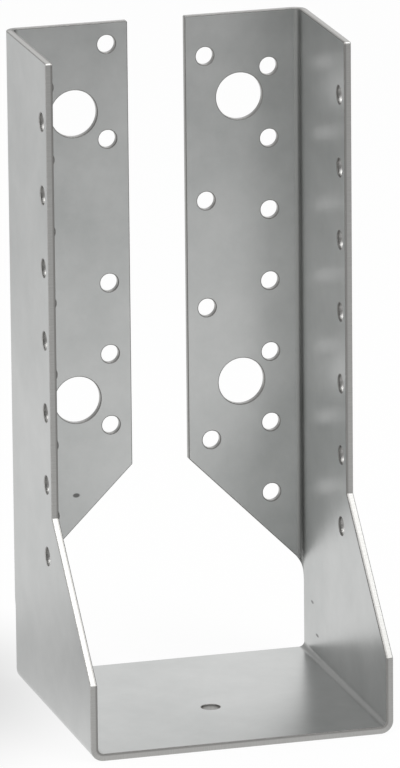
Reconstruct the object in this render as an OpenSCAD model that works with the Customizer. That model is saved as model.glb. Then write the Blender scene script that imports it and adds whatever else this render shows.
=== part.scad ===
// Face-fix joist hanger with its two nailing flanges turned inwards.
// One blank of galvanised steel sheet is punched flat and then folded four
// times: twice beside the seat, and once between each side plate and its
// flange. The joist drops in from above or slides in from -Y and stands on the
// seat. The flanges lie flat against the header on the +Y side.
//
// Frame: millimetres, +Z up. X = 0 is the middle of the joist, Y = 0 the middle
// of the hanger's depth, and Z = 0 the underside of the seat.

/* [Joist] */
// Clear width between the two side plates
joist_w = 80; // [74:1:140]
// Clear height from the top of the seat to the top edge
joist_h = 180; // [140:1:260]

/* [Sheet] */
// Thickness of the steel sheet
sheet_t = 2; // [1.5:0.1:3]
// Inside radius of all four folds
fold_r = 1.5; // [1:0.1:3]

/* [Side plates] */
// Depth at the seat, from the header to the front edge
seat_d = 80; // [64:1:110]
// Depth above the slanted cut, from the header to the front edge
upper_d = 43; // [40:1:56]
// How much further forward the right plate's upper front edge and nails are
right_ahead = 1.2; // [0:0.1:3]
// Height at which the slanted front cut leaves the seat's front edge
slant_foot = 21; // [12:0.5:30]
// Height at which the slanted front cut meets the upper front edge
slant_head = 57; // [45:0.5:90]

/* [Flanges] */
// Width of each flange, from the outside of its side plate to its free edge
flange_w = 34; // [32:0.5:36]
// Height at which the line of the flange's lower cut meets the outer side face
flange_foot = 24; // [20:0.5:40]
// Slope of the lower cut, measured from level
cut_angle = 45; // [30:1:55]
// Radius of the hollow corner where that cut runs into the side plate
cut_r = 8; // [4:0.5:13]

/* [Nail holes] */
// Diameter of a nail hole
nail_d = 5; // [3:0.1:6]
// Pitch of the nail rows
nail_pitch = 20; // [18:0.5:30]
// First nail row of the right half below the top edge
nail_top = 15.5; // [10:0.5:30]
// How much lower the rows of the left half are punched
left_drop = 1.4; // [0:0.1:3]
// Outer nail column, in from the outside of the side plate
nail_col = 10.5; // [9:0.1:12]
// Nail column of the side plates, back from the upper front edge
nail_side = 4.8; // [4.5:0.1:8]
// Least metal between a nail hole's centre and the flange's lower cut
nail_edge = 8; // [6:0.5:12]
// Seat nail hole, back from the seat's front edge
nail_seat = 31; // [20:1:40]

/* [Inner nail holes] */
// Left flange, each hole's distance below the top edge
left_down = [6, 32.3, 72.4, 92.4, 112.4]; // [5:0.1:160]
// Left flange, each hole's distance in from the free edge
left_in = [5.9, 5.9, 5.9, 5.9, 5.9]; // [5:0.1:9]
// Right flange, each hole's distance below the top edge
right_down = [11.4, 51.7, 81.7, 119.1]; // [5:0.1:160]
// Right flange, each hole's distance in from the free edge
right_in = [5.6, 5.6, 5.6, 6.5]; // [5:0.1:9]

/* [Bolt holes] */
// Diameter of a bolt hole
bolt_d = 13; // [9:0.5:14]
// Bolt column, in from the outside of the side plate
bolt_col = 18.8; // [17:0.1:21]
// Upper bolt hole below the first nail row
bolt_drop = 7.7; // [7:0.1:10]
// Least height of the lower bolt hole's centre above the flange's lower cut
bolt_edge = 30; // [22:1:36]

/* [Hidden] */

$fn = 96;
STEEL = "#b4b6b5";
LEFT = -1;
RIGHT = 1;
over = 1;  // how far a cutting tool runs past the sheet

width = joist_w + 2 * sheet_t;
height = joist_h + sheet_t;
bend_r = fold_r + sheet_t;               // outside radius of a fold
header_y = seat_d / 2;                   // the face that lies against the header
bend_y = header_y - bend_r;              // rear end of the flat side plates and seat
front_y = header_y - seat_d;
slope = tan(cut_angle);

// Length of sheet that one fold takes up, along the middle of its thickness.
fold_len = (fold_r + sheet_t / 2) * PI / 2;

// Height of the lower cut on a flange, at a distance in from the outer side face.
function cut_z(inward) = flange_foot + inward * slope;

// The same line on the flat blank, where s = 0 is the end of the side plate and
// s = fold_len the start of the flange.
function blank_z(s) = cut_z(bend_r) - (fold_len - s) * slope;

// The hollow corner touches the side plate's upright rear edge and the line
// above. It is kept inside the stretch of sheet that the fold takes up.
corner_r = min(cut_r, fold_len / (1 - sin(cut_angle)));
corner_z = blank_z(0) + corner_r * slope - corner_r / cos(cut_angle);
ARC_STEPS = 6;
LINE_STEPS = 4;
corner_s = corner_r * (1 - sin(cut_angle));

// Points [s, z] of the cut across the fold: the corner's arc, then the line.
function arc_point(a) = [corner_r * (1 - cos(a)), corner_z + corner_r * sin(a)];
function line_point(k) = let (s = corner_s + (fold_len - corner_s) * k / LINE_STEPS) [s, blank_z(s)];
fold_cut = concat(
    [for (i = [0 : ARC_STEPS]) arc_point((90 - cut_angle) * i / ARC_STEPS)],
    corner_s < fold_len ? [for (k = [1 : LINE_STEPS]) line_point(k)] : []
);

// First nail row and upper bolt hole of one half, below the top edge.
function first_row(side) = nail_top + (side == LEFT ? left_drop : 0);
function first_bolt(side) = first_row(side) + bolt_drop;

// Distances of one half's nail rows below the top edge: as many as keep clear of
// the flange's lower cut in the outer column.
function nail_rows(side) =
    let (room = height - first_row(side) - cut_z(nail_col) - nail_edge)
    [for (row = [0 : floor(room / nail_pitch)]) first_row(side) + row * nail_pitch];

// Distance between a flange's two bolt holes: a whole number of nail rows.
function bolt_spacing(side) =
    let (room = height - first_bolt(side) - cut_z(bolt_col) - bolt_edge)
    nail_pitch * floor(room / nail_pitch);

// Upper front edge of one side plate.
function upper_y(side) = header_y - upper_d - (side == RIGHT ? right_ahead : 0);

// A rectangle whose two lower corners are rounded, standing on z = 0.
module round_bottom(w, h, r) {
    translate([-w / 2, r]) square([w, h - r]);
    translate([r - w / 2, 0]) square([w - 2 * r, h]);
    for (side = [LEFT, RIGHT]) translate([side * (w / 2 - r), r]) circle(r);
}

// Section across the joist: seat, two folds and two side plates.
module channel_section() {
    difference() {
        round_bottom(width, height, bend_r);
        translate([0, sheet_t]) round_bottom(joist_w, height, fold_r);
    }
}

// Everything in front of one side plate's upper edge and its slanted cut.
module front_cut(side) {
    slant = (slant_head - slant_foot) / (upper_y(side) - front_y);
    translate([side * joist_w / 2, 0, 0]) rotate([90, 0, 90])
        linear_extrude(2 * (sheet_t + over), center = true) polygon([
            [upper_y(side), height + over], [upper_y(side), slant_head],
            [front_y - over, slant_foot - over * slant], [front_y - over, height + over]
        ]);
}

// Seat and side plates in one channel, trimmed at the front.
module channel() {
    difference() {
        translate([0, bend_y, 0]) rotate([90, 0, 0])
            linear_extrude(bend_y - front_y) channel_section();
        for (side = [LEFT, RIGHT]) front_cut(side);
    }
}

// Everything under the lower cut, across one fold. Its upper surface turns with
// the fold, so the cut stays square to the sheet all the way round.
module under_fold() {
    inner = fold_r / 2;
    outer = bend_r + over;
    turn = function (s) 90 * s / fold_len;
    first = fold_cut[0];
    last = fold_cut[len(fold_cut) - 1];
    past = 10 / 90 * fold_len;
    line = concat([first - [past, 0]], fold_cut, [last + [past, past * slope]]);
    n = len(line);
    function ring(r, low) = [for (p = line)
        [r * cos(turn(p[0])), r * sin(turn(p[0])), low ? -over : p[1]]];
    points = concat(ring(inner, true), ring(outer, true), ring(inner, false), ring(outer, false));
    // a quad between two neighbouring steps, as two triangles
    function strip(a, b, i) = [[a + i, b + i, a + i + 1], [b + i, b + i + 1, a + i + 1]];
    function strips(a, b) = [for (i = [0 : n - 2]) each strip(a, b, i)];
    faces = concat(
        strips(0, n), strips(3 * n, 2 * n), strips(2 * n, 0), strips(n, 3 * n),
        [[0, 2 * n, 3 * n], [0, 3 * n, n]],
        [[n - 1, 2 * n - 1, 4 * n - 1], [n - 1, 4 * n - 1, 3 * n - 1]]
    );
    polyhedron(points, faces, convexity = 4);
}

// Fold between the right side plate and its flange, trimmed along the cut.
module flange_fold() {
    translate([width / 2 - bend_r, bend_y, 0]) difference() {
        rotate_extrude(angle = 90) translate([fold_r, 0]) square([sheet_t, height]);
        under_fold();
    }
}

// The flat of the right flange, trimmed along the cut.
module flange_flat() {
    outer_x = width / 2 - bend_r;
    free_x = width / 2 - flange_w;
    translate([0, header_y, 0]) rotate([90, 0, 0]) linear_extrude(sheet_t) polygon([
        [outer_x, height], [free_x, height],
        [free_x, cut_z(flange_w)], [outer_x, cut_z(bend_r)]
    ]);
}

// The right flange with the fold that joins it to its side plate.
module flange() {
    flange_fold();
    flange_flat();
}

// The folded sheet before any hole is made in it.
module folded_sheet() {
    channel();
    flange();
    mirror([1, 0, 0]) flange();
}

// A punch through a flange, at a place given from its own side face and the top.
module flange_punch(side, d, inward, down) {
    translate([side * (width / 2 - inward), header_y + over, height - down])
        rotate([90, 0, 0]) cylinder(d = d, h = sheet_t + 2 * over);
}

// Outer nail column of one flange.
module outer_nails(side) {
    for (down = nail_rows(side)) flange_punch(side, nail_d, nail_col, down);
}

// Inner nail holes of one flange, leaving out those that the lower cut reaches.
module inner_nails(side, down, in) {
    for (i = [0 : len(down) - 1]) {
        inward = flange_w - in[i];
        if (height - down[i] - cut_z(inward) >= nail_edge)
            flange_punch(side, nail_d, inward, down[i]);
    }
}

// The two bolt holes of one flange.
module bolts(side) {
    for (down = [0, bolt_spacing(side)])
        flange_punch(side, bolt_d, bolt_col, first_bolt(side) + down);
}

// Nail holes of one side plate, in the same rows as the outer flange column.
module side_nails(side) {
    for (down = nail_rows(side))
        translate([side * (joist_w / 2 - over), upper_y(side) + nail_side, height - down])
            rotate([0, side * 90, 0]) cylinder(d = nail_d, h = sheet_t + 2 * over);
}

// The one nail hole in the seat.
module seat_nail() {
    translate([0, front_y + nail_seat, -over]) cylinder(d = nail_d, h = sheet_t + 2 * over);
}

module hanger() {
    color(STEEL) difference() {
        folded_sheet();
        for (side = [LEFT, RIGHT]) {
            outer_nails(side);
            side_nails(side);
            bolts(side);
        }
        inner_nails(LEFT, left_down, left_in);
        inner_nails(RIGHT, right_down, right_in);
        seat_nail();
    }
}

hanger();
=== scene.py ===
import math

import bmesh
import bpy
import numpy as np
from mathutils import Matrix, Vector


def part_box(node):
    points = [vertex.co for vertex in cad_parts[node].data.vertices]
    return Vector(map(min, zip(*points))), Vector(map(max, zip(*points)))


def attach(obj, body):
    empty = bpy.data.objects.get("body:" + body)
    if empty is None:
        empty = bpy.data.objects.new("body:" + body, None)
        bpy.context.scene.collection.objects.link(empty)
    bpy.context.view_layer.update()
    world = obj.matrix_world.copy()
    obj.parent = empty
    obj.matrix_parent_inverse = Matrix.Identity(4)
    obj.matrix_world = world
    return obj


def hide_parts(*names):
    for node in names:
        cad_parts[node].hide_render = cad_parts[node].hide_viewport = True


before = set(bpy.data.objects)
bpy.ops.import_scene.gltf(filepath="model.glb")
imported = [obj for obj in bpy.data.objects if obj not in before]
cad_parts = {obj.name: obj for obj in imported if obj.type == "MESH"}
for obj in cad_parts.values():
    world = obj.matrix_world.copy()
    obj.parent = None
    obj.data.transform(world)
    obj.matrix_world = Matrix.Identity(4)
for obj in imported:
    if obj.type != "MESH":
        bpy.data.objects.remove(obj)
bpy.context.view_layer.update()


# ---- Camera ---------------------------------------------------------------------------------
# The hanger is seen from its left and a little above, from 2.4 m away through a long lens, so
# that its upright edges stay almost parallel.

mm = 0.001
camera_place = Vector((-638.5, -2235.6, 737.4)) * mm
turn = math.radians(-15.951)
rise = math.radians(15.560)
roll = math.radians(-0.562)

back = Vector((math.sin(turn) * math.cos(rise), -math.cos(turn) * math.cos(rise), math.sin(rise)))
level_right = Vector((math.cos(turn), math.sin(turn), 0.0))
level_up = back.cross(level_right)
right = level_right * math.cos(roll) + level_up * math.sin(roll)
up = back.cross(right)

camera = bpy.data.objects.new("camera", bpy.data.cameras.new("camera"))
camera.data.lens = 422.2
camera.data.clip_end = 50.0
camera.matrix_world = Matrix((right, up, back)).transposed().to_4x4()
camera.matrix_world.translation = camera_place
bpy.context.scene.collection.objects.link(camera)
bpy.context.scene.camera = camera


# ---- The folded sheet -----------------------------------------------------------------------
# The whole hanger is one piece of galvanised mild steel sheet. A flat blank is sheared and punched,
# and a press brake folds it four times: one fold beside each end of the seat raises a side plate,
# and one at the rear of each side plate turns its flange inwards.

# The blank is a strip. Its length runs up one side plate, across the seat and up the other, and its
# width from front to back. The flanges stand out past the rear edge, and the cut below them leaves
# the lower rear open.

low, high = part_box("hanger")
width = high.x - low.x
height = high.z - low.z
front = low.y
header = high.y

sheet = 2.0 * mm                    # thickness
fold_inside = 1.5 * mm              # inside radius of a fold
fold_outside = fold_inside + sheet
fold_middle = fold_inside + sheet / 2
fold_length = fold_middle * math.pi / 2

RIGHT, LEFT = 1, -1
upper_front = {RIGHT: header - 44.2 * mm, LEFT: header - 43.0 * mm}  # edge above the slanted cut
rear = header - fold_outside        # where the flat of a side plate ends
slant_foot = 21.0 * mm
slant_head = 57.0 * mm
flange = 34.0 * mm                  # flange width, from the outside of the side plate
flange_foot = 24.0 * mm             # height of the lower cut, carried on to the side face
hollow = 8.0 * mm                   # radius of the corner where that cut meets the rear edge
hollow_steps = 10

seat_end = width / 2 - fold_outside             # end of the flat seat, along the strip
plate_start = seat_end + fold_length            # start of the flat side plate, along the strip
flange_start = rear + fold_length               # start of the flat flange, across the strip
flange_end = flange_start + flange - fold_outside


def along(z):
    """Place along the strip of a height on a side plate."""
    return plate_start + z - fold_outside


def across(inward):
    """Place across the strip of a distance in from the outside of the side plate."""
    return flange_start + inward - fold_outside


def half_outline(side):
    """The edge of one half of the strip, as (along, across, corner radius), from the seat's front
    up the side plate, round the flange and back to the seat's rear."""
    nip = 0.4 * mm  # a sheared corner is not quite sharp
    top = along(height)
    points = [(along(slant_foot), front, nip), (along(slant_head), upper_front[side], nip),
              (top, upper_front[side], 0.8 * mm), (top, flange_end, nip),
              (along(flange_foot + flange), flange_end, nip)]
    # the lower cut slopes at 45 degrees
    cut_start = flange_foot + fold_outside - fold_length     # height of the cut where the fold starts
    centre = cut_start + hollow - hollow * math.sqrt(2)      # height of the hollow corner's centre
    for step in range(hollow_steps + 1):
        angle = math.radians(45) * (1 - step / hollow_steps)
        points.append((along(centre + hollow * math.sin(angle)), rear + hollow * (1 - math.cos(angle)), 0))
    return [(side * a, b, r) for a, b, r in points]


def rounded(points, steps=4):
    """The closed line with each corner that has a radius turned into a short arc."""
    line = []
    for i, (a, b, radius) in enumerate(points):
        here = Vector((a, b))
        before = (Vector(points[i - 1][:2]) - here).normalized()
        after = (Vector(points[(i + 1) % len(points)][:2]) - here).normalized()
        if not radius:
            line.append(here)
            continue
        half = before.angle(after) / 2
        centre = here + (before + after).normalized() * (radius / math.sin(half))
        start = here + before * (radius / math.tan(half)) - centre
        end = here + after * (radius / math.tan(half)) - centre
        for step in range(steps + 1):
            share = step / steps
            spoke = start.slerp(end, share) if start.angle(end) > 1e-6 else start
            line.append(centre + spoke.normalized() * radius)
    return line


# Holes: nails of 4 mm go through 5 mm holes in rows of 20 mm, and M12 bolts through 13 mm holes.
# The left half is punched 1.4 mm lower, and the inner column is staggered from side to side.
nail = 2.5 * mm
bolt = 6.5 * mm
row_pitch = 20.0 * mm
row_count = 7
first_row = {RIGHT: 15.5 * mm, LEFT: 16.9 * mm}
bolt_below = 7.7 * mm
bolt_rows = 4
nail_column = 10.5 * mm
bolt_column = 18.8 * mm
joist_column = 4.8 * mm
seat_hole = front + 31.0 * mm
inner_nails = {RIGHT: [(28.4, 11.4), (28.4, 51.7), (28.4, 81.7), (27.5, 119.1)],
               LEFT: [(28.1, 6.0), (28.1, 32.3), (28.1, 72.4), (28.1, 92.4), (28.1, 112.4)]}


def hole_list():
    """Every hole as (along the strip, across the strip, radius)."""
    holes = [(0.0, seat_hole, nail)]
    for side in (RIGHT, LEFT):
        for row in range(row_count):
            place = side * along(height - first_row[side] - row * row_pitch)
            holes.append((place, across(nail_column), nail))
            holes.append((place, upper_front[side] + joist_column, nail))
        for drop in (bolt_below, bolt_below + bolt_rows * row_pitch):
            place = side * along(height - first_row[side] - drop)
            holes.append((place, across(bolt_column), bolt))
        for inward, down in inner_nails[side]:
            holes.append((side * along(height - down * mm), across(inward * mm), nail))
    return holes


def blank_layout():
    """The marked-out strip: its edge as a closed line, each point with the way into the metal, and
    a point with a radius for each hole."""
    line = rounded(half_outline(RIGHT) + half_outline(LEFT)[::-1])
    inset = []
    for i, here in enumerate(line):
        before = (here - line[i - 1]).normalized()
        after = (line[(i + 1) % len(line)] - here).normalized()
        normals = Vector((-before.y, before.x)), Vector((-after.y, after.x))
        middle = normals[0] + normals[1]
        inset.append(middle / (1 + normals[0].dot(normals[1])))
    holes = hole_list()
    mesh = bpy.data.meshes.new("blank_layout")
    places = [(p.x, p.y, 0.0) for p in line] + [(a, b, 0.0) for a, b, _ in holes]
    mesh.from_pydata(places, [(i, (i + 1) % len(line)) for i in range(len(line))], [])
    radius = mesh.attributes.new("hole_radius", "FLOAT", "POINT")
    way_in = mesh.attributes.new("way_in", "FLOAT_VECTOR", "POINT")
    for i, vector in enumerate(inset):
        way_in.data[i].vector = (vector.x, vector.y, 0.0)
    for i, hole in enumerate(holes):
        radius.data[len(line) + i].value = hole[2]
    return mesh


def add_node(tree, kind, sockets=None, **settings):
    """One node with its settings. sockets gives each input a value, or an output to link from."""
    made = tree.nodes.new(kind)
    for name, value in settings.items():
        setattr(made, name, value)
    for name, value in (sockets or {}).items():
        if isinstance(value, bpy.types.NodeSocket):
            tree.links.new(value, made.inputs[name])
        else:
            made.inputs[name].default_value = value
    return made


def press_tree():
    """Geometry nodes for the press: punch every marked hole, shear the outline and give the strip
    its thickness. Every cut edge is rounded over, as a shear and a punch leave it."""
    tree = bpy.data.node_groups.new("press", "GeometryNodeTree")
    face = tree.interface
    face.new_socket("Layout", in_out="INPUT", socket_type="NodeSocketGeometry")
    face.new_socket("Sheet thickness", in_out="INPUT", socket_type="NodeSocketFloat")
    face.new_socket("Edge rounding", in_out="INPUT", socket_type="NodeSocketFloat")
    face.new_socket("Hole sides", in_out="INPUT", socket_type="NodeSocketInt")
    face.new_socket("Sheet finish", in_out="INPUT", socket_type="NodeSocketMaterial")
    face.new_socket("Cut finish", in_out="INPUT", socket_type="NodeSocketMaterial")
    face.new_socket("Strip", in_out="OUTPUT", socket_type="NodeSocketGeometry")
    given = add_node(tree, "NodeGroupInput").outputs

    # one closed line for the outline and one for each hole, all with their way into the metal
    size = add_node(tree, "GeometryNodeInputNamedAttribute", {"Name": "hole_radius"}, data_type="FLOAT")
    is_hole = add_node(tree, "FunctionNodeCompare", {"A": size.outputs[0]}, operation="GREATER_THAN")
    marks = add_node(tree, "GeometryNodeSeparateGeometry",
                     {"Geometry": given["Layout"], "Selection": is_hole.outputs[0]})
    ring = add_node(tree, "GeometryNodeCurvePrimitiveCircle",
                    {"Resolution": given["Hole sides"], "Radius": 1.0})
    outwards = add_node(tree, "GeometryNodeInputPosition")
    punch = add_node(tree, "GeometryNodeStoreNamedAttribute",
                     {"Geometry": ring.outputs["Curve"], "Name": "way_in", "Value": outwards.outputs[0]},
                     data_type="FLOAT_VECTOR", domain="POINT")
    punched = add_node(tree, "GeometryNodeInstanceOnPoints",
                       {"Points": marks.outputs["Selection"], "Instance": punch.outputs[0],
                        "Scale": size.outputs[0]})
    holes = add_node(tree, "GeometryNodeRealizeInstances", {"Geometry": punched.outputs[0]})
    hole_lines = add_node(tree, "GeometryNodeCurveToMesh", {"Curve": holes.outputs[0]})
    lines = add_node(tree, "GeometryNodeJoinGeometry", {"Geometry": marks.outputs["Inverted"]})
    tree.links.new(hole_lines.outputs[0], lines.inputs["Geometry"])

    # the edge of the level face lies one rounding inside the cut
    way_in = add_node(tree, "GeometryNodeInputNamedAttribute", {"Name": "way_in"}, data_type="FLOAT_VECTOR")
    rounding = given["Edge rounding"]
    inwards = add_node(tree, "ShaderNodeVectorMath", {0: way_in.outputs[0], "Scale": rounding},
                       operation="SCALE")
    half = add_node(tree, "ShaderNodeMath", {0: given["Sheet thickness"], 1: 0.5}, operation="MULTIPLY")
    below = add_node(tree, "ShaderNodeMath", {0: half.outputs[0], 1: -1.0}, operation="MULTIPLY")
    down = add_node(tree, "ShaderNodeCombineXYZ", {"Z": below.outputs[0]})
    up = add_node(tree, "ShaderNodeCombineXYZ", {"Z": half.outputs[0]})
    brink = add_node(tree, "GeometryNodeSetPosition",
                     {"Geometry": lines.outputs[0], "Offset": inwards.outputs[0]})
    brink_line = add_node(tree, "GeometryNodeMeshToCurve", {"Mesh": brink.outputs[0]})
    level = add_node(tree, "GeometryNodeFillCurve", {"Curve": brink_line.outputs[0]})
    under = add_node(tree, "GeometryNodeSetPosition",
                     {"Geometry": level.outputs[0], "Offset": down.outputs[0]})
    over = add_node(tree, "GeometryNodeSetPosition",
                    {"Geometry": level.outputs[0], "Offset": up.outputs[0]})
    faces = add_node(tree, "GeometryNodeJoinGeometry", {"Geometry": under.outputs[0]})
    tree.links.new(over.outputs[0], faces.inputs["Geometry"])
    coated = add_node(tree, "GeometryNodeSetMaterial",
                      {"Geometry": faces.outputs[0], "Material": given["Sheet finish"]})

    # the cut is drawn up from the lower brink to the upper one: a rounding, the wall, a rounding
    wall = add_node(tree, "GeometryNodeSetPosition",
                    {"Geometry": brink.outputs[0], "Offset": down.outputs[0]})
    twice = add_node(tree, "ShaderNodeMath", {0: rounding, 1: 2.0}, operation="MULTIPLY")
    wall_height = add_node(tree, "ShaderNodeMath", {0: given["Sheet thickness"], 1: twice.outputs[0]},
                           operation="SUBTRACT")
    straight = add_node(tree, "ShaderNodeCombineXYZ", {"Z": wall_height.outputs[0]})
    arcs = 4
    angles = [math.radians(90) * k / arcs for k in range(arcs + 1)]
    steps = [(math.sin(p) - math.sin(q), math.cos(p) - math.cos(q)) for p, q in zip(angles, angles[1:])]
    chain = [*steps, None, *[(-d, h) for d, h in reversed(steps)]]
    geometry, edge = wall.outputs[0], None
    for step in chain:
        drawn = add_node(tree, "GeometryNodeExtrudeMesh", {"Mesh": geometry, "Offset Scale": 0.0},
                         mode="EDGES")
        if edge:
            tree.links.new(edge, drawn.inputs["Selection"])
        if step:
            flat_part = add_node(tree, "ShaderNodeVectorMath", {0: inwards.outputs[0], "Scale": step[0]},
                                 operation="SCALE")
            climb = add_node(tree, "ShaderNodeMath", {0: rounding, 1: step[1]}, operation="MULTIPLY")
            lift = add_node(tree, "ShaderNodeCombineXYZ", {"Z": climb.outputs[0]})
            offset = add_node(tree, "ShaderNodeVectorMath", {0: flat_part.outputs[0], 1: lift.outputs[0]})
        else:
            offset = straight
        moved = add_node(tree, "GeometryNodeSetPosition",
                         {"Geometry": drawn.outputs["Mesh"], "Selection": drawn.outputs["Top"],
                          "Offset": offset.outputs[0]})
        geometry, edge = moved.outputs[0], drawn.outputs["Top"]
    bare = add_node(tree, "GeometryNodeSetMaterial",
                    {"Geometry": geometry, "Material": given["Cut finish"]})

    whole = add_node(tree, "GeometryNodeJoinGeometry", {"Geometry": coated.outputs[0]})
    tree.links.new(bare.outputs[0], whole.inputs["Geometry"])
    closed = add_node(tree, "GeometryNodeMergeByDistance",
                      {"Geometry": whole.outputs[0], "Distance": 0.002 * mm})
    solid = add_node(tree, "GeometryNodeRealizeInstances", {"Geometry": closed.outputs[0]})
    add_node(tree, "NodeGroupOutput", {"Strip": solid.outputs[0]})
    return tree


def colour(hex_code):
    """Linear RGBA from an sRGB hex code."""
    parts = [int(hex_code[i:i + 2], 16) / 255 for i in (1, 3, 5)]
    return [p / 12.92 if p <= 0.04045 else ((p + 0.055) / 1.055) ** 2.4 for p in parts] + [1.0]


# Scuffs from handling, on the side that ends up inside: each as its place on the strip and its
# half sizes. One is on the left flange and two are low on the right side plate.
inner_face = sheet / 2              # height above the middle of the sheet
scuffs = [((-along(50.5 * mm), across(18.0 * mm), inner_face), (0.75 * mm, 1.2 * mm, 0.5 * mm)),
          ((along(17.0 * mm), 28.3 * mm, inner_face), (0.5 * mm, 1.5 * mm, 0.5 * mm)),
          ((along(8.7 * mm), 23.8 * mm, inner_face), (0.5 * mm, 1.7 * mm, 0.5 * mm))]


def galvanised_steel():
    """Mild steel sheet coated with zinc in a continuous bath, then skin-passed and lightly oiled. It
    is a neutral pale grey with a soft satin mirror and faint cloudy patches."""
    made = bpy.data.materials.new("galvanised_steel")
    made.use_nodes = True
    tree = made.node_tree
    tree.nodes.clear()
    strip = add_node(tree, "ShaderNodeAttribute", attribute_name="strip").outputs["Vector"]

    # cloudy patches of the zinc, about 14 mm across, on broad areas of some 70 mm
    clouds = add_node(tree, "ShaderNodeTexNoise", {"Vector": strip, "Scale": 70.0, "Detail": 5.0,
                                                   "Roughness": 0.65})
    areas = add_node(tree, "ShaderNodeTexNoise", {"Vector": strip, "W": 8.0, "Scale": 14.0, "Detail": 1.0},
                     noise_dimensions="4D")
    patches = add_node(tree, "ShaderNodeMix", {"Factor": 0.6, "A": clouds.outputs["Fac"],
                                               "B": areas.outputs["Fac"]})
    cloudiness = add_node(tree, "ShaderNodeMapRange", {"Value": patches.outputs[0], "From Min": 0.33,
                                                       "From Max": 0.67})
    zinc = add_node(tree, "ShaderNodeMix", {"Factor": cloudiness.outputs[0], "A": colour("#b0b2b1"),
                                            "B": colour("#cccdcc")}, data_type="RGBA")

    # inside each fold the zinc gets a painted shade of the concave bend, and is a little rougher
    at = add_node(tree, "ShaderNodeSeparateXYZ", {"Vector": strip}).outputs
    from_seat = add_node(tree, "ShaderNodeMath", {0: at["X"]}, operation="ABSOLUTE").outputs[0]
    inner = add_node(tree, "ShaderNodeMapRange", {"Value": at["Z"], "From Min": 0.0,
                                                  "From Max": inner_face}).outputs[0]
    fold_shade_and_dulling = 0.0
    for run, fold_start, strength in ((at["Y"], rear, 0.7), (from_seat, seat_end, 0.4)):
        off = add_node(tree, "ShaderNodeMath", {0: run, 1: fold_start + fold_length / 2},
                       operation="SUBTRACT")
        away = add_node(tree, "ShaderNodeMath", {0: off.outputs[0]}, operation="ABSOLUTE")
        near = add_node(tree, "ShaderNodeMapRange",
                        {"Value": away.outputs[0], "From Min": 0.6 * fold_length,
                         "From Max": 0.25 * fold_length, "To Min": 0.0, "To Max": strength},
                        interpolation_type="SMOOTHSTEP")
        fold_shade_and_dulling = add_node(tree, "ShaderNodeMath", {0: near.outputs[0], 1: fold_shade_and_dulling}, operation="MAXIMUM")
        fold_shade_and_dulling = fold_shade_and_dulling.outputs[0]
    inner_fold_shade_and_dulling = add_node(tree, "ShaderNodeMath", {0: fold_shade_and_dulling, 1: inner}, operation="MULTIPLY").outputs[0]
    # a darker grey mixed in on the inner face of each fold: painted shade, not the zinc's own colour
    fold_shaded = add_node(tree, "ShaderNodeMix", {"Factor": inner_fold_shade_and_dulling, "A": zinc.outputs[2],
                                              "B": colour("#7f7f7d")}, data_type="RGBA")

    # the scuffs are dark spots with a soft edge
    scuffed = 0.0
    for place, half_size in scuffs:
        centred = add_node(tree, "ShaderNodeVectorMath", {0: strip, 1: place}, operation="SUBTRACT")
        scaled = add_node(tree, "ShaderNodeVectorMath", {0: centred.outputs[0], 1: half_size},
                          operation="DIVIDE")
        reach = add_node(tree, "ShaderNodeVectorMath", {0: scaled.outputs[0]}, operation="LENGTH")
        spot = add_node(tree, "ShaderNodeMapRange", {"Value": reach.outputs["Value"], "From Min": 1.0,
                                                     "From Max": 0.6}, interpolation_type="SMOOTHSTEP")
        scuffed = add_node(tree, "ShaderNodeMath", {0: spot.outputs[0], 1: scuffed}, operation="MAXIMUM")
        scuffed = scuffed.outputs[0]
    tone = add_node(tree, "ShaderNodeMix", {"Factor": scuffed, "A": fold_shaded.outputs[2],
                                            "B": colour("#6a6a69")}, data_type="RGBA")

    smooth = add_node(tree, "ShaderNodeMapRange", {"Value": clouds.outputs["Fac"], "From Min": 0.3,
                                                   "From Max": 0.7, "To Min": 0.28, "To Max": 0.32})
    roughness = add_node(tree, "ShaderNodeMath", {0: inner_fold_shade_and_dulling, 1: 0.2, 2: smooth.outputs[0]},
                         operation="MULTIPLY_ADD")
    # the sheet isn't quite level: it has ripples of 0.03 mm, about 20 mm across
    ripple = add_node(tree, "ShaderNodeTexNoise", {"Vector": strip, "Scale": 50.0, "Detail": 1.0})
    bump = add_node(tree, "ShaderNodeBump",
                    {"Height": ripple.outputs["Fac"], "Strength": 1.0, "Distance": 0.03 * mm})
    surface = add_node(tree, "ShaderNodeBsdfPrincipled",
                       {"Base Color": tone.outputs[2], "Metallic": 1.0, "Roughness": roughness.outputs[0],
                        "Normal": bump.outputs[0]})
    add_node(tree, "ShaderNodeOutputMaterial", {"Surface": surface.outputs[0]})
    return made


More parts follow.
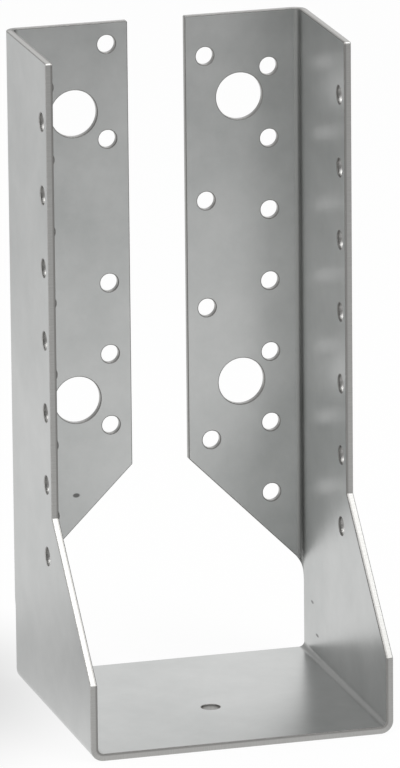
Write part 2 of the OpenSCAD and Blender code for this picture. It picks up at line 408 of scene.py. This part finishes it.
def sheared_steel():
    """The bare edge that the shear and the punches leave: a duller and warmer grey than the zinc,
    grooved straight through the sheet, so that its gloss is drawn out along the edge."""
    made = bpy.data.materials.new("sheared_steel")
    made.use_nodes = True
    tree = made.node_tree
    tree.nodes.clear()
    strip = add_node(tree, "ShaderNodeAttribute", attribute_name="strip").outputs["Vector"]
    through = add_node(tree, "ShaderNodeAttribute", attribute_name="through").outputs["Vector"]
    # shear marks, 0.3 mm apart along the cut and 4 mm long through the sheet
    drawn_out = add_node(tree, "ShaderNodeMapping", {"Vector": strip, "Scale": (3300.0, 3300.0, 250.0)})
    marks = add_node(tree, "ShaderNodeTexNoise",
                     {"Vector": drawn_out.outputs[0], "Scale": 1.0, "Detail": 2.0})
    burnished = add_node(tree, "ShaderNodeMix", {"Factor": marks.outputs["Fac"], "A": colour("#9b9a98"),
                                                 "B": colour("#b7b7b5")}, data_type="RGBA")
    # the shear burnishes the outer two thirds of the thickness, and the rest breaks off rough
    depth = add_node(tree, "ShaderNodeSeparateXYZ", {"Vector": strip}).outputs["Z"]
    broken = add_node(tree, "ShaderNodeMapRange", {"Value": depth, "From Min": 0.25 * mm,
                                                   "From Max": 0.55 * mm}, interpolation_type="SMOOTHSTEP")
    tone = add_node(tree, "ShaderNodeMix", {"Factor": broken.outputs[0], "A": burnished.outputs[2],
                                            "B": colour("#8c8b89")}, data_type="RGBA")
    bump = add_node(tree, "ShaderNodeBump",
                    {"Height": marks.outputs["Fac"], "Strength": 0.3, "Distance": 0.02 * mm})
    surface = add_node(tree, "ShaderNodeBsdfPrincipled",
                       {"Base Color": tone.outputs[2], "Metallic": 1.0, "Roughness": 0.35,
                        "Anisotropic": 0.9, "Anisotropic Rotation": 0.25, "Tangent": through,
                        "Normal": bump.outputs[0]})
    add_node(tree, "ShaderNodeOutputMaterial", {"Surface": surface.outputs[0]})
    return made


# The press turns the marked-out strip into sheet, coated on both faces and bare on every cut.
edge_rounding = 0.25 * mm
hole_sides = 48

zinc = galvanised_steel()
cut = sheared_steel()
press = bpy.data.objects.new("blank", blank_layout())
bpy.context.scene.collection.objects.link(press)
pressing = press.modifiers.new("pressing", "NODES")
pressing.node_group = press_tree()
settings = {"Sheet thickness": sheet, "Edge rounding": edge_rounding, "Hole sides": hole_sides,
            "Sheet finish": zinc, "Cut finish": cut}
for item in pressing.node_group.interface.items_tree:
    if item.name in settings:
        pressing[item.identifier] = settings[item.name]

bpy.context.view_layer.update()
ready = press.evaluated_get(bpy.context.evaluated_depsgraph_get())
blank = bpy.data.meshes.new_from_object(ready)
bpy.data.objects.remove(press)

# Lines across the strip where it will bend, and no face with more than four corners.
fold_steps = 10
work = bmesh.new()
work.from_mesh(blank)
for step in range(fold_steps + 1):
    reach = fold_length * step / fold_steps
    cuts = [((seat_end + reach, 0, 0), (1, 0, 0)), ((-seat_end - reach, 0, 0), (1, 0, 0)),
            ((0, rear + reach, 0), (0, 1, 0))]
    for point, direction in cuts:
        bmesh.ops.bisect_plane(work, geom=work.verts[:] + work.edges[:] + work.faces[:],
                               plane_co=point, plane_no=direction, dist=0.0001 * mm)
bmesh.ops.triangulate(work, faces=[f for f in work.faces if len(f.verts) > 4])
bmesh.ops.recalc_face_normals(work, faces=work.faces[:])
open_edges = sum(1 for edge in work.edges if not edge.is_manifold)
if open_edges:
    raise RuntimeError(f"the strip isn't closed: {open_edges} open edges")
work.to_mesh(blank)
work.free()


def fold(points, directions):
    """Where points and directions of the flat strip lie once the sheet is folded. The third value
    is the height above the middle of the sheet, and that side ends up inside the hanger."""
    a, b, out = np.abs(points[:, 0]), points[:, 1], -points[:, 2]
    side = np.where(points[:, 0] < 0, -1.0, 1.0)
    radius = fold_middle + out
    none = np.zeros_like(a)
    # seat folds, which raise the side plates
    bend = np.clip((a - seat_end) / fold_middle, 0, math.pi / 2)
    x = np.minimum(a, seat_end) + radius * np.sin(bend)
    y = b.copy()
    z = fold_outside - radius * np.cos(bend) + np.maximum(a - plate_start, 0)
    run = np.stack([np.cos(bend), none, side * np.sin(bend)], axis=1)
    cross = np.stack([none, none + 1, none], axis=1)
    through = np.stack([-side * np.sin(bend), none, np.cos(bend)], axis=1)
    # flange folds, which turn the sheet in towards the middle
    turned = (a > seat_end) & (b > rear)
    bend = np.where(turned, np.clip((b - rear) / fold_middle, 0, math.pi / 2), 0)
    inward = np.maximum(b - flange_start, 0)
    x = np.where(turned, seat_end + radius * np.cos(bend) - inward, x)
    y = np.where(turned, rear + radius * np.sin(bend), y)
    at_flange = np.stack([-side * np.sin(bend), np.cos(bend), none], axis=1)
    cross = np.where(turned[:, None], at_flange, cross)
    facing_in = np.stack([-side * np.cos(bend), -np.sin(bend), none], axis=1)
    through = np.where(turned[:, None], facing_in, through)
    places = np.stack([x * side, y, z], axis=1)
    turned_directions = run * directions[:, :1] + cross * directions[:, 1:2] + through * directions[:, 2:]
    return places, turned_directions, through


def strip_normals(mesh):
    """Smooth normals of the flat strip: the flat of the sheet stays exactly level up to the
    rounded edge, the sheared wall stays upright, and the rounding between them is smooth."""
    count = len(mesh.vertices)
    total = np.zeros((count, 3))
    unset, level, upright, rounding = -1, 0, 1, 2
    taken_from = np.full(count, unset)
    faces = []
    for face in mesh.polygons:
        lean = abs(face.normal.z)
        faces.append((level if lean > 0.999 else upright if lean < 0.02 else rounding, face))
    for kind in (rounding, upright, level):
        for face_kind, face in faces:
            if face_kind != kind:
                continue
            for i in face.vertices:
                if taken_from[i] != kind:
                    taken_from[i] = kind
                    total[i] = 0
                total[i] += np.array(face.normal) * face.area
    return total / np.maximum(np.linalg.norm(total, axis=1, keepdims=True), 1e-12)


flat = np.array([v.co for v in blank.vertices])
places, normals, through = fold(flat, strip_normals(blank))
for name, values in (("strip", flat), ("through", through)):
    layer = blank.attributes.new(name, "FLOAT_VECTOR", "POINT")
    layer.data.foreach_set("vector", values.astype(np.float32).ravel())
blank.vertices.foreach_set("co", places.astype(np.float32).ravel())
blank.update()
blank.shade_smooth()
blank.normals_split_custom_set_from_vertices([tuple(n) for n in normals])

hanger = bpy.data.objects.new("folded_sheet", blank)
bpy.context.scene.collection.objects.link(hanger)
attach(hanger, "root")
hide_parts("hanger")


# ---- Floor and light ------------------------------------------------------------------------
# A sheet of white paper on a table under one soft box. The world is plain white for camera rays
# only. Every other ray sees a dim room, brighter to the left, the front left and the back right,
# and that room is what the steel mirrors above the horizon.


def white_paper():
    """Smooth uncoated white paper, with two soft shades painted on it. Most of the white that is seen
    is its own, and the rest is lit and keeps the hanger's shadow."""
    own_white = 0.92
    made = bpy.data.materials.new("white_paper")
    made.cycles.emission_sampling = "NONE"  # its own white is only seen, and lights nothing
    made.use_nodes = True
    tree = made.node_tree
    tree.nodes.clear()
    path = add_node(tree, "ShaderNodeLightPath")
    seen = add_node(tree, "ShaderNodeMath", {0: path.outputs["Is Camera Ray"],
                                             1: path.outputs["Is Glossy Ray"]}, operation="MAXIMUM")
    seen_through = add_node(tree, "ShaderNodeMath",
                            {0: seen.outputs[0], 1: path.outputs["Is Transmission Ray"]},
                            operation="MAXIMUM")
    share = add_node(tree, "ShaderNodeMath", {0: seen_through.outputs[0], 1: own_white},
                     operation="MULTIPLY")
    lit = add_node(tree, "ShaderNodeBsdfDiffuse", {"Color": colour("#fafaf9")})
    # the first shade: a broad band on the left, which the left plate mirrors, is a fifth darker. It is
    # fixed on the table, and it darkens along the main camera's own way to the left.
    place = add_node(tree, "ShaderNodeTexCoord").outputs["Object"]
    aside = add_node(tree, "ShaderNodeVectorMath", {0: place, 1: tuple(level_right)},
                     operation="DOT_PRODUCT")
    dimming = []
    for near, far in ((-0.08, -0.35), (-0.7, -1.5)):
        edge = add_node(tree, "ShaderNodeMapRange", {"Value": aside.outputs["Value"], "From Min": near,
                                                     "From Max": far, "To Min": 0.0, "To Max": 0.2},
                        interpolation_type="SMOOTHSTEP")
        dimming.append(edge.outputs[0])
    band = add_node(tree, "ShaderNodeMath", {0: dimming[0], 1: dimming[1]}, operation="SUBTRACT")
    # the second shade: a soft ellipse beside the left plate. It isn't cast by the hanger, but stands in
    # for a deeper shadow, so that the plate mirrors a darker table towards its foot.
    ellipse = add_node(tree, "ShaderNodeMapping", {"Vector": place, "Location": (-0.085, 0.045, 0.0),
                                                   "Scale": (0.075, 0.105, 1.0)}, vector_type="TEXTURE")
    middle = add_node(tree, "ShaderNodeVectorMath", {0: ellipse.outputs[0]}, operation="LENGTH")
    shade = add_node(tree, "ShaderNodeMapRange", {"Value": middle.outputs["Value"], "From Min": 1.0,
                                                  "From Max": 0.0, "To Min": 0.0, "To Max": 0.45},
                     interpolation_type="SMOOTHSTEP")
    loss = add_node(tree, "ShaderNodeMath", {0: band.outputs[0], 1: shade.outputs[0]})
    white_level = add_node(tree, "ShaderNodeMath", {0: 1.0, 1: loss.outputs[0]}, operation="SUBTRACT")
    white = add_node(tree, "ShaderNodeEmission", {"Color": colour("#ffffff"),
                                                  "Strength": white_level.outputs[0]})
    mixed = add_node(tree, "ShaderNodeMixShader", {"Fac": share.outputs[0], 1: lit.outputs[0],
                                                   2: white.outputs[0]})
    add_node(tree, "ShaderNodeOutputMaterial", {"Surface": mixed.outputs[0]})
    return made


floor_mesh = bpy.data.meshes.new("floor")
floor_front, floor_back, floor_side = -0.7, 3.0, 2.0
floor_mesh.from_pydata([(-floor_side, floor_front, 0), (floor_side, floor_front, 0),
                        (floor_side, floor_back, 0), (-floor_side, floor_back, 0)], [], [(0, 1, 2, 3)])
floor_mesh.materials.append(white_paper())
floor = bpy.data.objects.new("floor", floor_mesh)
bpy.context.scene.collection.objects.link(floor)

soft_box = bpy.data.objects.new("soft_box", bpy.data.lights.new("soft_box", "AREA"))
soft_box.data.size = 0.42
soft_box.data.energy = 3.45
soft_box_place = Vector((0.22, -0.2, 0.98))
aim = Vector((0.0, 0.0, 0.09)) - soft_box_place
soft_box.matrix_world = aim.to_track_quat("-Z", "Y").to_matrix().to_4x4()
soft_box.matrix_world.translation = soft_box_place
soft_box.visible_camera = False
bpy.context.scene.collection.objects.link(soft_box)

room = bpy.data.worlds.new("room")
bpy.context.scene.world = room
room.use_nodes = True
tree = room.node_tree
tree.nodes.clear()
direction = add_node(tree, "ShaderNodeTexCoord").outputs["Generated"]
heading = add_node(tree, "ShaderNodeSeparateXYZ", {"Vector": direction}).outputs
front_left, due_left, back_right = (-0.7, -0.7, 0.1), (-1.0, 0.0, 0.1), (0.7, 0.7, 0.1)
walls = 0.5
for towards, strength in ((front_left, 0.45), (due_left, 0.95), (back_right, 0.7)):
    facing = add_node(tree, "ShaderNodeVectorMath", {0: direction, 1: Vector(towards).normalized()},
                      operation="DOT_PRODUCT")
    glow = add_node(tree, "ShaderNodeMapRange", {"Value": facing.outputs["Value"], "From Min": 0.45,
                                                 "From Max": 1.0, "To Min": 0.0, "To Max": strength},
                    interpolation_type="SMOOTHSTEP")
    walls = add_node(tree, "ShaderNodeMath", {0: walls, 1: glow.outputs[0]}).outputs[0]
below_horizon = 0.1
total = add_node(tree, "ShaderNodeMapRange", {"Value": heading["Z"], "From Min": -0.01, "From Max": 0.01,
                                              "To Min": below_horizon, "To Max": walls}).outputs[0]
path = add_node(tree, "ShaderNodeLightPath")
level = add_node(tree, "ShaderNodeMix", {"Factor": path.outputs["Is Camera Ray"], "A": total, "B": 1.0})
light = add_node(tree, "ShaderNodeBackground", {"Color": colour("#ffffff"), "Strength": level.outputs[0]})
add_node(tree, "ShaderNodeOutputWorld", {"Surface": light.outputs[0]})

bpy.context.scene.view_settings.view_transform = "Standard"
